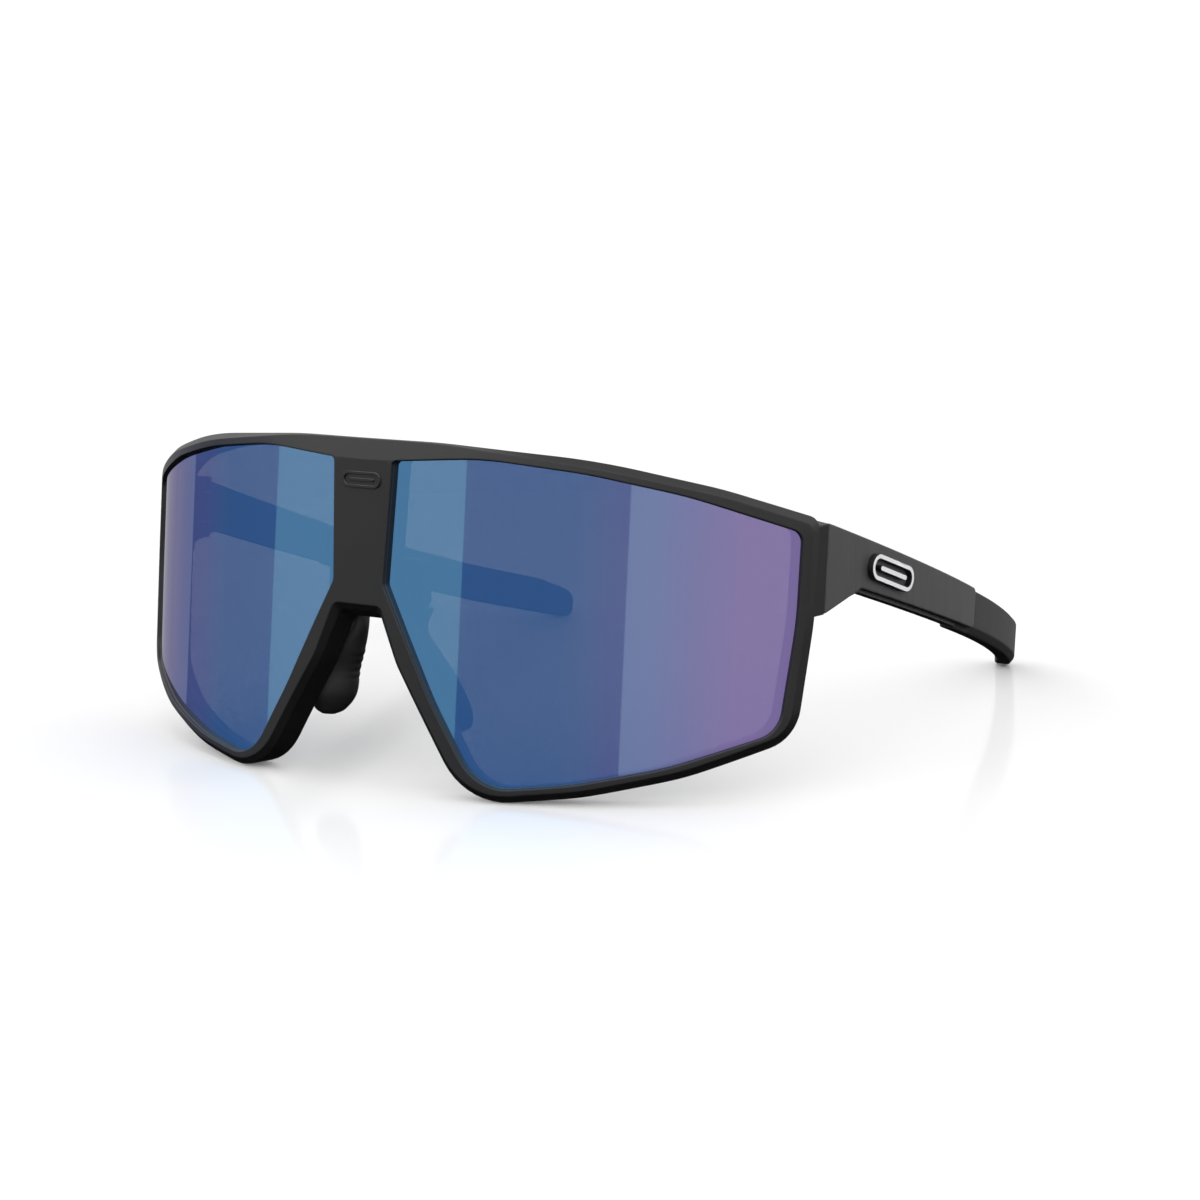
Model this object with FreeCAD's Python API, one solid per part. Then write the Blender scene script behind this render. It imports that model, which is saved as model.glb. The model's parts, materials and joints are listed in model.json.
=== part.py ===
import FreeCAD, Part
import math
import os
from FreeCAD import Base, Matrix, Placement, Rotation, Vector

# Wraparound sport sunglasses, standing on the rims' lower edges and the temple tips.
#
# Everything is drawn in the front's own frame: x to the wearer's left, y from the rim's front face
# towards the wearer, z up along the axis of the cylinder that the front is wrapped on. The last step
# leans the whole thing back until it stands on the floor, with +Z up and the front facing -Y.
#
# Outlines of the front are flat patterns of (s, h): s along the arc of the face cylinder from the
# middle, h up. A pattern is a polygon of corners (s, h, radius) and is wrapped on the cylinder.

# ---- front: cylinder, rim and lenses (millimetres) ----
FACE_RADIUS = 90.3
RIM_DEPTH = 6.0
EDGE_CHAMFER = 1.1
LENS_SINK = 2.0
LENS_THICKNESS = 2.0
LENS_LIP = 1.0
LENS_GAP = 0.05
LEAN_BACK = 6.34

FRONT_ANGLE = 1.5 * math.pi   # the middle of the front, as an angle on the cylinder

# ---- end-pieces and hinges ----
ENDPIECE_FRONT = Vector(66.18, 29.18, 0)
ENDPIECE_BACK = 33.0
ENDPIECE_WIDE = 67.4
HINGE_X = 63.0
HINGE_Y = 35.5
BARREL_RADIUS = 2.2
SCREW_RADIUS = 0.70
RUNNING_GAP = 0.05
LUG_TOP = -7.4
LUG_BOTTOM = -18.4
TONGUE_TOP = -10.25
TONGUE_BOTTOM = -15.4
WASHER_THICKNESS = 0.2
HINGE_SLACK = WASHER_THICKNESS + 2 * RUNNING_GAP
BUSH_RADIUS = 1.25
NUT_RADIUS = 1.3
SCREW_HEAD_RADIUS = 1.35
SCREW_HEAD_HEIGHT = 0.8

# ---- temples: plan curve of the outer face, and depths under it ----
WIDEST_X = 70.0
WIDEST_Y = 73.0
FRONT_BOW = 308.0
REAR_BOW = 157.0
TEMPLE_START = 33.2
COVER_THICKNESS = 1.0
COVER_END = 86.3
ARM_FACE = 1.05
ARM_BACK = 3.2
SLEEVE_FACE = 0.6
SLEEVE_BACK = 4.0
SLEEVE_START = 79.5
TENON_FACE = 1.6
TENON_BACK = 3.0
CORE_FACE = 1.95
CORE_BACK = 2.65
SLAB_FRONT = 28.0
SLAB_REAR = 152.0
SLAB_HEIGHT = 45.0
SLAB_INSIDE = 40.0

# ---- nose piece ----
HOLDER_FACE = 4.4
HOLDER_BACK = 7.8
PIVOT = Vector(6.4, 0, -22.4)
PIVOT_FRONT = 5.6
PIVOT_BACK = 10.7
PIVOT_RADIUS = 0.9
WIRE_RADIUS = 0.7

# ---- raised badges ----
BADGE_LENGTH = 14.0
BADGE_HEIGHT = 4.4
BADGE_LINE = 0.85
BADGE_RISE = 1.0
BADGE_CENTRE = Vector(65.0, 51.5, -14.7)
BADGE_SLOPE = -13.4
BRIDGE_BADGE_LENGTH = 7.6
BRIDGE_BADGE_HEIGHT = 2.6
BRIDGE_BADGE_LINE = 0.45
BRIDGE_BADGE_RISE = 0.25
BRIDGE_BADGE_Z = -3.4

# Left lens opening, clockwise from its inner top corner
OPENING = [
    (5.8, 0.0, 0.9),
    (21.5, 1.25, 60.0),
    (38.5, -0.2, 80.0),
    (54.5, -2.85, 80.0),
    (73.2, -7.8, 2.2),
    (73.1, -22.0, 60.0),
    (71.1, -39.5, 5.2),
    (53.0, -45.9, 60.0),
    (38.0, -49.4, 60.0),
    (23.0, -51.5, 8.8),
    (14.5, -38.0, 60.0),
    (4.95, -19.9, 2.2),
]

# Left half of the front's outline from the brow to the nose arch, at three depths
FACE_HALF = [
    (14.0, 3.2, 120.0),
    (40.0, 0.75, 120.0),
    (60.0, -2.6, 80.0),
    (74.8, -6.5, 1.6),
    (74.6, -21.4, 60.0),
    (72.6, -39.5, 5.6),
    (56.0, -46.0, 60.0),
    (40.0, -50.05, 60.0),
    (21.35, -52.7, 11.0),
    (8.4, -32.3, 12.0),
    (4.7, -23.4, 1.6),
]
BEVEL_HALF = [
    (14.0, 3.35, 120.0),
    (40.0, 1.95, 120.0),
    (60.0, -1.5, 80.0),
    (76.4, -5.6, 2.4),
    (76.3, -21.4, 60.0),
    (74.3, -40.5, 7.5),
    (56.3, -47.25, 60.0),
    (40.2, -51.2, 60.0),
    (21.0, -53.9, 12.0),
    (7.5, -32.6, 11.0),
    (3.9, -24.5, 1.4),
]
BACK_HALF = [
    (14.0, 2.9, 120.0),
    (40.0, 1.5, 120.0),
    (60.0, -1.95, 80.0),
    (75.9, -5.95, 2.4),
    (75.8, -21.4, 60.0),
    (73.8, -40.1, 7.3),
    (56.2, -46.85, 60.0),
    (40.2, -50.8, 60.0),
    (21.2, -53.4, 11.8),
    (8.0, -33.2, 11.0),
    (4.6, -26.0, 1.4),
]

# Nose piece base, left half from its top corner down
HOLDER_HALF = [
    (9.7, -15.8, 1.5),
    (9.7, -22.6, 2.0),
    (6.6, -25.3, 1.5),
]

# Temple outlines seen from the side, as corners (y, z, radius)
COVER_SIDE = [
    (TEMPLE_START, -6.3, 0.2),
    (COVER_END, -18.9, 1.3),
    (COVER_END, -26.0, 0.9),
    (43.4, -17.0, 0.6),
    (TEMPLE_START, -20.7, 0.2),
]
ARM_SIDE = [
    (TEMPLE_START, -6.6, 0.2),
    (SLEEVE_START, -17.55, 0.2),
    (SLEEVE_START, -25.2, 0.2),
    (43.9, -17.7, 0.6),
    (TEMPLE_START, -20.6, 0.2),
]
TENON_SIDE = [
    (70.0, -17.0, 0.2),
    (116.0, -27.4, 40.0),
    (127.0, -29.8, 1.5),
    (126.0, -33.4, 1.5),
    (70.0, -21.8, 0.2),
]
CORE_SIDE = [
    (50.0, -13.4, 0.3),
    (121.0, -29.7, 0.3),
    (121.0, -31.3, 0.3),
    (50.0, -15.0, 0.3),
]
SLEEVE_SIDE = [
    (SLEEVE_START, -17.7, 0.3),
    (118.0, -26.2, 60.0),
    (136.0, -29.6, 12.0),
    (143.8, -32.5, 3.2),
    (143.5, -38.1, 1.6),
    (124.0, -34.75, 80.0),
    (SLEEVE_START, -25.6, 0.3),
]

# Nose pad cross-sections: x and y of the middle, z, half thickness, half width, turn
PAD_SECTIONS = [
    (6.4, 10.4, -24.0, 1.25, 1.5, 0.0),
    (5.9, 9.6, -27.6, 1.30, 1.5, -8.0),
    (7.6, 9.9, -31.2, 2.30, 2.2, -10.0),
    (10.1, 10.5, -35.4, 3.20, 2.6, -14.0),
    (11.8, 10.8, -39.8, 3.90, 3.2, -15.0),
    (12.8, 11.3, -42.5, 2.70, 2.4, -15.0),
    (13.1, 11.3, -43.5, 1.20, 1.1, -15.0),
]


def mirrored(shape):
    return shape.mirror(Vector(0, 0, 0), Vector(1, 0, 0))


def whole(half):
    """Closed outline from its left half, top to bottom."""
    return half + [(-s, h, radius) for s, h, radius in reversed(half)]


def grown(corners, distance):
    """The outline moved out by a distance, for corners listed clockwise."""
    count = len(corners)
    result = []
    for i in range(count):
        before = Vector(*corners[i - 1][:2], 0)
        here = Vector(*corners[i][:2], 0)
        after = Vector(*corners[(i + 1) % count][:2], 0)
        into = (here - before).normalize()
        out = (after - here).normalize()
        turn = into.x * out.y - into.y * out.x
        side = Vector(-into.y - out.y, into.x + out.x, 0).normalize()
        reach = distance / math.sqrt((1 + into.dot(out)) / 2)
        corner = here + side * reach
        radius = corners[i][2] + (distance if turn < 0 else -distance)
        result.append((corner.x, corner.y, max(radius, 0.3)))
    return result


def rounded(corners):
    """Edges of a polygon with rounded corners, as lines and tangent arcs in the XY plane."""
    count = len(corners)
    arcs = []
    for i in range(count):
        before = Vector(*corners[i - 1][:2], 0)
        here = Vector(*corners[i][:2], 0)
        after = Vector(*corners[(i + 1) % count][:2], 0)
        radius = corners[i][2]
        to_before = (before - here).normalize()
        to_after = (after - here).normalize()
        half_angle = to_before.getAngle(to_after) / 2
        reach = radius / math.tan(half_angle)
        inward = (to_before + to_after).normalize()
        centre_distance = radius / math.sin(half_angle)
        middle = here + inward * (centre_distance - radius)
        arcs.append((here + to_before * reach, middle, here + to_after * reach))
    edges = []
    for i in range(count):
        start, middle, end = arcs[i]
        edges.append(Part.Arc(start, middle, end).toShape())
        following = arcs[(i + 1) % count][0]
        edges.append(Part.LineSegment(end, following).toShape())
    return edges


def wrapped(edge, inward):
    """A flat pattern's edge laid on the cylinder at a depth inward of the rim's face."""
    first, last = edge.ParameterRange
    curve = edge.Curve.toBSpline(first, last)
    poles = [Base.Vector2d(FRONT_ANGLE + pole.x / FACE_RADIUS, pole.y) for pole in curve.getPoles()]
    flat = Part.Geom2d.BSplineCurve2d()
    flat.buildFromPolesMultsKnots(
        poles, curve.getMultiplicities(), curve.getKnots(), False, curve.Degree, curve.getWeights()
    )
    return flat.toShape(cylinder(inward))


def cylinder(inward):
    """Cylinder about the front's axis, at a depth inward of the rim's face."""
    surface = Part.Cylinder()
    surface.Radius = FACE_RADIUS - inward
    surface.Center = Vector(0, FACE_RADIUS, 0)
    return surface


def patch(edges, inward):
    """Piece of the cylinder inside a closed run of edges."""
    face = Part.Face(cylinder(inward), Part.Wire(edges))
    face.validate()
    return face


def wrap_solid(levels):
    """Solid through outlines at several depths, from the front to the back."""
    laid = [[wrapped(edge, inward) for edge in rounded(corners)] for corners, inward in levels]
    faces = [patch(laid[0], levels[0][1]), patch(laid[-1], levels[-1][1])]
    for near, far in zip(laid, laid[1:]):
        faces += [Part.makeRuledSurface(a, b) for a, b in zip(near, far)]
    shell = Part.makeShell(faces)
    shell.sewShape()
    solid = Part.Solid(shell)
    if solid.Volume < 0:
        solid.reverse()
    return solid


def front_blank():
    """Rim, brow and bridge as one solid, before the lenses and the nose piece are let in."""
    levels = [(FACE_HALF, 0), (BEVEL_HALF, EDGE_CHAMFER), (BACK_HALF, RIM_DEPTH)]
    rim = wrap_solid([(whole(half), inward) for half, inward in levels])
    endpiece = endpiece_block()
    return rim.fuse([endpiece, mirrored(endpiece)]).removeSplitter()


def polyhedron(top, bottom):
    """Solid between two polygons with the same number of corners; both are cut into triangles."""
    count = len(top)
    triangles = []
    for ring in (top, bottom):
        for i in range(1, count - 1):
            triangles.append((ring[0], ring[i], ring[i + 1]))
    for i in range(count):
        j = (i + 1) % count
        triangles.append((top[i], top[j], bottom[j]))
        triangles.append((top[i], bottom[j], bottom[i]))
    faces = [Part.Face(Part.makePolygon(list(corners) + [corners[0]])) for corners in triangles]
    shell = Part.makeShell(faces)
    shell.sewShape()
    solid = Part.Solid(shell)
    if solid.Volume < 0:
        solid.reverse()
    return solid


def endpiece_block():
    """Left end-piece: the rim turned back along the temple, up to the hinge line."""
    # x, y, top and bottom of each corner, going round from the front outer edge
    corners = [
        (ENDPIECE_FRONT.x, ENDPIECE_FRONT.y, -7.1, -21.4),
        (ENDPIECE_WIDE, ENDPIECE_BACK, -6.3, -20.8),
        (61.3, ENDPIECE_BACK, -5.6, -20.8),
        (61.4, 32.4, -5.5, -20.9),
        (63.93, 30.85, -5.3, -21.2),
    ]
    top = [Vector(x, y, high) for x, y, high, low in corners]
    bottom = [Vector(x, y, low) for x, y, high, low in corners]
    return polyhedron(top, bottom)


def upright(radius, low, high):
    """Round bar on the left hinge axis."""
    return Part.makeCylinder(radius, high - low, Vector(HINGE_X, HINGE_Y, low))


def block(x, y, z):
    """Box from three (low, high) pairs."""
    return Part.makeBox(x[1] - x[0], y[1] - y[0], z[1] - z[0], Vector(x[0], y[0], z[0]))


def hinge_lugs():
    """Upper and lower lugs behind the left end-piece."""
    lugs = []
    for low, high in ((LUG_BOTTOM, TONGUE_BOTTOM - HINGE_SLACK), (TONGUE_TOP + HINGE_SLACK, LUG_TOP)):
        root = block((HINGE_X - 1.8, HINGE_X + BARREL_RADIUS), (ENDPIECE_BACK - 1.0, HINGE_Y), (low, high))
        lugs.append(upright(BARREL_RADIUS, low, high).fuse(root))
    return lugs


def hinge_bores():
    """What the screw, its head and the nut take out of the left lugs."""
    head = upright(SCREW_HEAD_RADIUS + RUNNING_GAP, LUG_BOTTOM - 0.1, LUG_BOTTOM + SCREW_HEAD_HEIGHT)
    shaft = upright(SCREW_RADIUS + RUNNING_GAP, LUG_BOTTOM, TONGUE_TOP + HINGE_SLACK + 0.1)
    nut = upright(NUT_RADIUS, TONGUE_TOP + HINGE_SLACK, LUG_TOP - 0.4)
    return [head, shaft, nut]


def make_front_frame(plate):
    """Whole front, with the lens openings and grooves, the nose plate's seat and the hinge bores."""
    left_lugs = hinge_lugs()
    lugs = left_lugs + [mirrored(lug) for lug in left_lugs]
    seat = block((60.0, 72.0), (ENDPIECE_BACK, 40.0), (-24.0, 0.0))
    blank = front_blank().cut([seat, mirrored(seat)])
    frame = blank.fuse(lugs)
    opening = wrap_solid([(OPENING, -1.0), (OPENING, RIM_DEPTH + 2.0)])
    groove = lens_body(LENS_LIP, LENS_GAP)
    bores = hinge_bores()
    cuts = [plate, opening, mirrored(opening), groove, mirrored(groove)]
    cuts += bores + [mirrored(bore) for bore in bores]
    return frame.cut(cuts)


def lens_body(lip, gap):
    """Curved slab behind the opening: the lens itself, or the groove that holds it."""
    outline = grown(OPENING, lip)
    return wrap_solid([(outline, LENS_SINK - gap), (outline, LENS_SINK + LENS_THICKNESS + gap)])


def make_lens():
    return lens_body(LENS_LIP - LENS_GAP, 0)


def holder_plate():
    outline = whole(HOLDER_HALF)
    return wrap_solid([(outline, HOLDER_FACE), (outline, HOLDER_BACK)])


def make_nose_holder(plate):
    """Plate let into the back of the bridge, with a socket for each pad arm."""
    socket = pivot_bar(PIVOT_RADIUS + RUNNING_GAP, PIVOT_FRONT - 0.1, PIVOT_BACK)
    return plate.cut([socket, mirrored(socket)])


def pivot_bar(radius, front, back):
    """Round bar on the left nose arm's pivot, which runs front to back."""
    return Part.makeCylinder(radius, back - front, Vector(PIVOT.x, front, PIVOT.z), Vector(0, 1, 0))


def make_nose_arm():
    """Steel wire of the left nose pad: a pivot in the plate and a shank down inside the pad."""
    pivot = pivot_bar(PIVOT_RADIUS, PIVOT_FRONT, PIVOT_BACK)
    knee = Vector(PIVOT.x, PIVOT_BACK - 0.3, PIVOT.z)
    waist = Vector(PIVOT.x - 0.5, 9.6, -27.8)
    tip = Vector(10.1, 10.5, -35.4)
    pieces = [pivot, Part.makeSphere(WIRE_RADIUS, waist), Part.makeSphere(WIRE_RADIUS, tip)]
    for start, end in ((knee, waist), (waist, tip)):
        run = end - start
        pieces.append(Part.makeCylinder(WIRE_RADIUS, run.Length, start, run))
    return pieces[0].fuse(pieces[1:]).removeSplitter()


def make_nose_pad(arm):
    """Soft left pad: an ellipse that swells, leans out and opens towards the face on its way down."""
    rings = []
    for x, y, z, half_thickness, half_width, turn in PAD_SECTIONS:
        stretch = Matrix()
        stretch.scale(half_width, half_thickness, 1)
        wire = Part.Wire([Part.makeCircle(1).transformGeometry(stretch)])
        wire.Placement = Placement(Vector(x, y, z), Rotation(Vector(0, 0, 1), 90 + turn))
        rings.append(wire)
    pad = Part.makeLoft(rings, True, False)
    return pad.cut(arm)


def plan_x(depth, y):
    """x of the temple's plan curve at a depth under its outer face."""
    bow = (FRONT_BOW if y < WIDEST_Y else REAR_BOW)
    return WIDEST_X - bow + math.sqrt((bow - depth) ** 2 - (y - WIDEST_Y) ** 2)


def plan_point(depth, y):
    return Vector(plan_x(depth, y), y, 0)


def plan_arc(depth, start, end):
    points = [plan_point(depth, y) for y in (start, (start + end) / 2, end)]
    return Part.Arc(*points).toShape()


def blade(face_depth, back_depth, corners):
    """Slice of the temple between two depths under its outer face, cut to a side outline (y, z)."""
    outer = [plan_arc(face_depth, SLAB_FRONT, WIDEST_Y), plan_arc(face_depth, WIDEST_Y, SLAB_REAR)]
    inner = [plan_arc(back_depth, SLAB_REAR, WIDEST_Y), plan_arc(back_depth, WIDEST_Y, SLAB_FRONT)]
    ends = [Part.LineSegment(plan_point(face_depth, y), plan_point(back_depth, y)).toShape()
            for y in (SLAB_FRONT, SLAB_REAR)]
    plan = Part.Face(Part.Wire(Part.__sortEdges__(outer + inner + ends)))
    slab = plan.extrude(Vector(0, 0, -SLAB_HEIGHT))
    side = Part.Face(Part.Wire(rounded(corners)))
    side.Placement = Placement(Vector(SLAB_INSIDE, 0, 0), Rotation(Vector(1, 1, 1), 120))
    return slab.common(side.extrude(Vector(SLAB_INSIDE, 0, 0)))


def make_temple_cover():
    return blade(0, COVER_THICKNESS, COVER_SIDE)


def make_temple_core():
    return blade(CORE_FACE, CORE_BACK, CORE_SIDE)


def make_temple_arm(core):
    """Left arm under its cover, with the hinge tongue in front and the tenon for the tip behind."""
    arm = blade(ARM_FACE, ARM_BACK, ARM_SIDE)
    tenon = blade(TENON_FACE, TENON_BACK, TENON_SIDE)
    tongue_wide = (HINGE_X, plan_x(ARM_FACE, HINGE_Y) - 0.1)
    tongue = block(tongue_wide, (HINGE_Y - BARREL_RADIUS, 39.0), (TONGUE_BOTTOM, TONGUE_TOP))
    arm = arm.fuse([tenon, tongue, upright(BARREL_RADIUS, TONGUE_BOTTOM, TONGUE_TOP)])
    pocket_wide = (HINGE_X - 4.0, HINGE_X + BARREL_RADIUS + 0.25)
    pocket_long = (HINGE_Y - 4.0, HINGE_Y + BARREL_RADIUS + 0.4)
    pockets = [
        block(pocket_wide, pocket_long, (LUG_BOTTOM - 0.3, TONGUE_BOTTOM)),
        block(pocket_wide, pocket_long, (TONGUE_TOP, LUG_TOP + 0.3)),
    ]
    bore = upright(BUSH_RADIUS, TONGUE_BOTTOM - 1, TONGUE_TOP + 1)
    return arm.cut(pockets + [bore, core])


def make_temple_tip(arm, core):
    """Left rubber sleeve over the arm's tenon; its front end reaches under the cover."""
    hidden = blade(ARM_FACE, SLEEVE_BACK, SLEEVE_SIDE)
    shown = blade(SLEEVE_FACE, SLEEVE_BACK, SLEEVE_SIDE)
    shown = shown.cut(block((0, 90), (0, COVER_END + 0.3), (-60, 0)))
    return hidden.fuse(shown).cut([arm, core])


def badge_outline(length, height, line):
    """A flat ring with round ends and a bar inside it, in the XY plane, centred."""
    ring = capsule(length, height).cut(capsule(length - 2 * line, height - 2 * line))
    bar = capsule(length - 6 * line, line * 1.1)
    return [ring, bar]


def capsule(length, height):
    """Flat slot shape in the XY plane, centred."""
    end = length / 2 - height / 2
    side = height / 2
    edges = [
        Part.LineSegment(Vector(-end, side, 0), Vector(end, side, 0)).toShape(),
        Part.Arc(Vector(end, side, 0), Vector(end + side, 0, 0), Vector(end, -side, 0)).toShape(),
        Part.LineSegment(Vector(end, -side, 0), Vector(-end, -side, 0)).toShape(),
        Part.Arc(Vector(-end, -side, 0), Vector(-end - side, 0, 0), Vector(-end, side, 0)).toShape(),
    ]
    return Part.Face(Part.Wire(edges))


def make_temple_badge(cover):
    """Raised mark on the left temple: it follows the cover's slope and stands a little proud."""
    marks = badge_outline(BADGE_LENGTH, BADGE_HEIGHT, BADGE_LINE)
    slab = blade(-BADGE_RISE, 0.01, COVER_SIDE)
    sideways = Rotation(Vector(1, 1, 1), 120)
    turn = Rotation(Vector(1, 0, 0), BADGE_SLOPE).multiply(sideways)
    solids = []
    for mark in marks:
        mark.Placement = Placement(BADGE_CENTRE, turn)
        solids.append(mark.extrude(Vector(10, 0, 0)).common(slab).cut(cover))
    return Part.makeCompound(solids)


def make_bridge_badge(frame):
    """Raised mark on the bridge, the same shape as on the temples."""
    solids = []
    face = Placement(Vector(0, -BRIDGE_BADGE_RISE, BRIDGE_BADGE_Z), Rotation(Vector(1, 0, 0), 90))
    for mark in badge_outline(BRIDGE_BADGE_LENGTH, BRIDGE_BADGE_HEIGHT, BRIDGE_BADGE_LINE):
        mark.Placement = face
        solids.append(mark.extrude(Vector(0, 3, 0)).cut(frame))
    return Part.makeCompound(solids)


def make_hinge_screw():
    head = upright(SCREW_HEAD_RADIUS, LUG_BOTTOM, LUG_BOTTOM + SCREW_HEAD_HEIGHT)
    slot_wide = (HINGE_X - 2, HINGE_X + 2)
    slot_long = (HINGE_Y - 0.2, HINGE_Y + 0.2)
    slot = block(slot_wide, slot_long, (LUG_BOTTOM - 1, LUG_BOTTOM + 0.4))
    shaft = upright(SCREW_RADIUS, LUG_BOTTOM, LUG_TOP - 0.6)
    return head.fuse(shaft).cut(slot)


def make_hinge_nut():
    nut = upright(NUT_RADIUS, TONGUE_TOP + HINGE_SLACK, LUG_TOP - 0.4)
    return nut.cut(upright(SCREW_RADIUS, TONGUE_TOP, LUG_TOP))


def make_hinge_bush():
    bush = upright(BUSH_RADIUS, TONGUE_BOTTOM, TONGUE_TOP)
    return bush.cut(upright(SCREW_RADIUS + RUNNING_GAP, TONGUE_BOTTOM - 1, TONGUE_TOP + 1))


def make_hinge_washers():
    """Thin friction washers above and below the tongue."""
    washers = []
    for low in (TONGUE_BOTTOM - RUNNING_GAP - WASHER_THICKNESS, TONGUE_TOP + RUNNING_GAP):
        disc = upright(BARREL_RADIUS - 0.1, low, low + WASHER_THICKNESS)
        washers.append(disc.cut(upright(SCREW_RADIUS + RUNNING_GAP, low - 1, low + 1)))
    return Part.makeCompound(washers)


def one_of_each():
    """Pieces on the middle of the front."""
    plate = holder_plate()
    frame = make_front_frame(plate)
    return {
        "front_frame": frame,
        "nose_holder": make_nose_holder(plate),
        "bridge_badge": make_bridge_badge(frame),
    }


def left_pieces():
    """Pieces that the right side repeats as mirror images."""
    core = make_temple_core()
    arm = make_temple_arm(core)
    cover = make_temple_cover()
    nose_arm = make_nose_arm()
    return {
        "lens": make_lens(),
        "nose_arm": nose_arm,
        "nose_pad": make_nose_pad(nose_arm),
        "temple_arm": arm,
        "temple_cover": cover,
        "temple_core": core,
        "temple_tip": make_temple_tip(arm, core),
        "temple_badge": make_temple_badge(cover),
        "hinge_screw": make_hinge_screw(),
        "hinge_nut": make_hinge_nut(),
        "hinge_bush": make_hinge_bush(),
        "hinge_washers": make_hinge_washers(),
    }


def main():
    pieces = one_of_each()
    for name, shape in left_pieces().items():
        pieces[name + "_left"] = shape
        pieces[name + "_right"] = mirrored(shape)
    lean = Placement(Vector(0, 0, 0), Rotation(Vector(1, 0, 0), -LEAN_BACK))
    for shape in pieces.values():
        shape.Placement = lean.multiply(shape.Placement)
    box = Part.makeCompound(list(pieces.values())).optimalBoundingBox()
    floor = Placement(Vector(0, -(box.YMin + box.YMax) / 2, -box.ZMin), Rotation())
    os.makedirs("parts", exist_ok=True)
    for name, shape in pieces.items():
        shape.Placement = floor.multiply(shape.Placement)
        shape.exportStep("parts/" + name + ".step")
    print("overall", round(box.XLength, 2), round(box.YLength, 2), round(box.ZLength, 2))
    print("moved by", round(floor.Base.y, 3), round(floor.Base.z, 3))
    for name, shape in pieces.items():
        sizes = [round(solid.Volume, 2) for solid in shape.Solids]
        print(name, shape.isValid(), sizes)


main()
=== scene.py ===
import json
import math

import bmesh
import bpy
import numpy as np
from mathutils import Matrix, Vector
from mathutils.geometry import delaunay_2d_cdt


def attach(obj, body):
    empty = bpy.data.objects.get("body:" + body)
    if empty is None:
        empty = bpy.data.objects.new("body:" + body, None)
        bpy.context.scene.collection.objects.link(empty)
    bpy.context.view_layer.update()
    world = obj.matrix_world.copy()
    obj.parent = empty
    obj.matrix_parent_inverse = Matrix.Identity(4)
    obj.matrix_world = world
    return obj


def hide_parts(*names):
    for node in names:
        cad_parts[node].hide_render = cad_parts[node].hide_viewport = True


# Wraparound sport sunglasses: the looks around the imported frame.
#
# Pieces are drawn in the front's own frame, in millimetres: x to the wearer's left, y towards the
# wearer, z up along the axis of the cylinder that the front is wrapped on. placed() turns that into
# the row frame. The front is a flat pattern (s, h, n): s along the arc, h up, n inward of the rim's
# face. A temple is a side pattern (y, z, depth under its outer face).

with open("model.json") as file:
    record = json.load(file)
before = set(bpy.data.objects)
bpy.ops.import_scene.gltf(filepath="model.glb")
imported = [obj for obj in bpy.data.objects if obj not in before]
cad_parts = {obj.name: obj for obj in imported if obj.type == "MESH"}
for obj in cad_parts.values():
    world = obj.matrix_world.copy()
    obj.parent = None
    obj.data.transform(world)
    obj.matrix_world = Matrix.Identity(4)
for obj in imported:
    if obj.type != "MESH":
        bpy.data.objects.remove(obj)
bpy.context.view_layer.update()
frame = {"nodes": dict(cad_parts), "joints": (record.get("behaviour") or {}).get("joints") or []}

# ---- how the front's frame stands in the row frame ----
HINGE = Vector((63.0, 35.5, -12.8))
hinge_joint = next(joint for joint in frame["joints"] if joint["name"] == "temple_fold_left")
LEAN = math.atan2(hinge_joint["axis"][1], hinge_joint["axis"][2])
LEAN_MATRIX = Matrix.Rotation(-LEAN, 3, "X")
SHIFT = Vector(hinge_joint["pos_m"]) * 1000 - LEAN_MATRIX @ HINGE

# ---- front (millimetres) ----
FACE_RADIUS = 90.3
RIM_DEPTH = 6.0
EDGE_CHAMFER = 1.1
LENS_SINK = 2.0
LENS_BACK = 4.0
LENS_LIP = 0.95
LENS_FORWARD = 1.1          # how far the lens comes forward at its outer end
FORWARD_START = 44.0        # |s| where it begins to
FORWARD_END = 70.0
GROOVE = 1.0
GROOVE_GAP = 0.05
LIP_DEPTH = 0.6
LIP_STEP = 0.12
BROW_TILT = math.tan(math.radians(12))
BROW_FLATTENS = (18.0, 52.0)    # |s| over which the brow's lean lessens
BROW_LEFT = 0.25                # share of the lean that is left outside that
CREASE_REACH = 5.1
SEAT_X = 60.0
SEAT_Y = 33.0
SEAT_TOP = 0.0
SEAT_BOTTOM = -24.0
STEP = 1.6                  # length of one step along an outline

# ---- temples ----
WIDEST_X = 70.0
WIDEST_Y = 73.0
FRONT_BOW = 308.0
REAR_BOW = 157.0
TEMPLE_START = 33.2
COVER_END = 86.3
SLEEVE_START = 79.5
SLEEVE_STEP = 86.6
SLEEVE_FACE = 0.6
SLEEVE_UNDER = 1.05
SLEEVE_BACK = 4.0
SLEEVE_CHAMFER = 1.35       # height of the chamfer along the sleeve's lower edge
SLEEVE_CHAMFER_DEPTH = 0.75
SLEEVE_HEEL = (143.0, -37.0, 1.6)   # lower back corner of the sleeve's face

# ---- hinges ----
BARREL_RADIUS = 2.2
LUG_INNER_SIDE = 1.8        # from the axis to the lug's flat side
LUG_ROOT = 1.0              # how far the lug runs into the front
LUGS = ((-18.4, -15.7), (-9.95, -7.4))
SCREW_BORE = 0.75
HEAD_BORE = 1.4
HEAD_DEPTH = 0.8
INSERT_BORE = 1.3
INSERT_ROOF = 0.4

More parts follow.
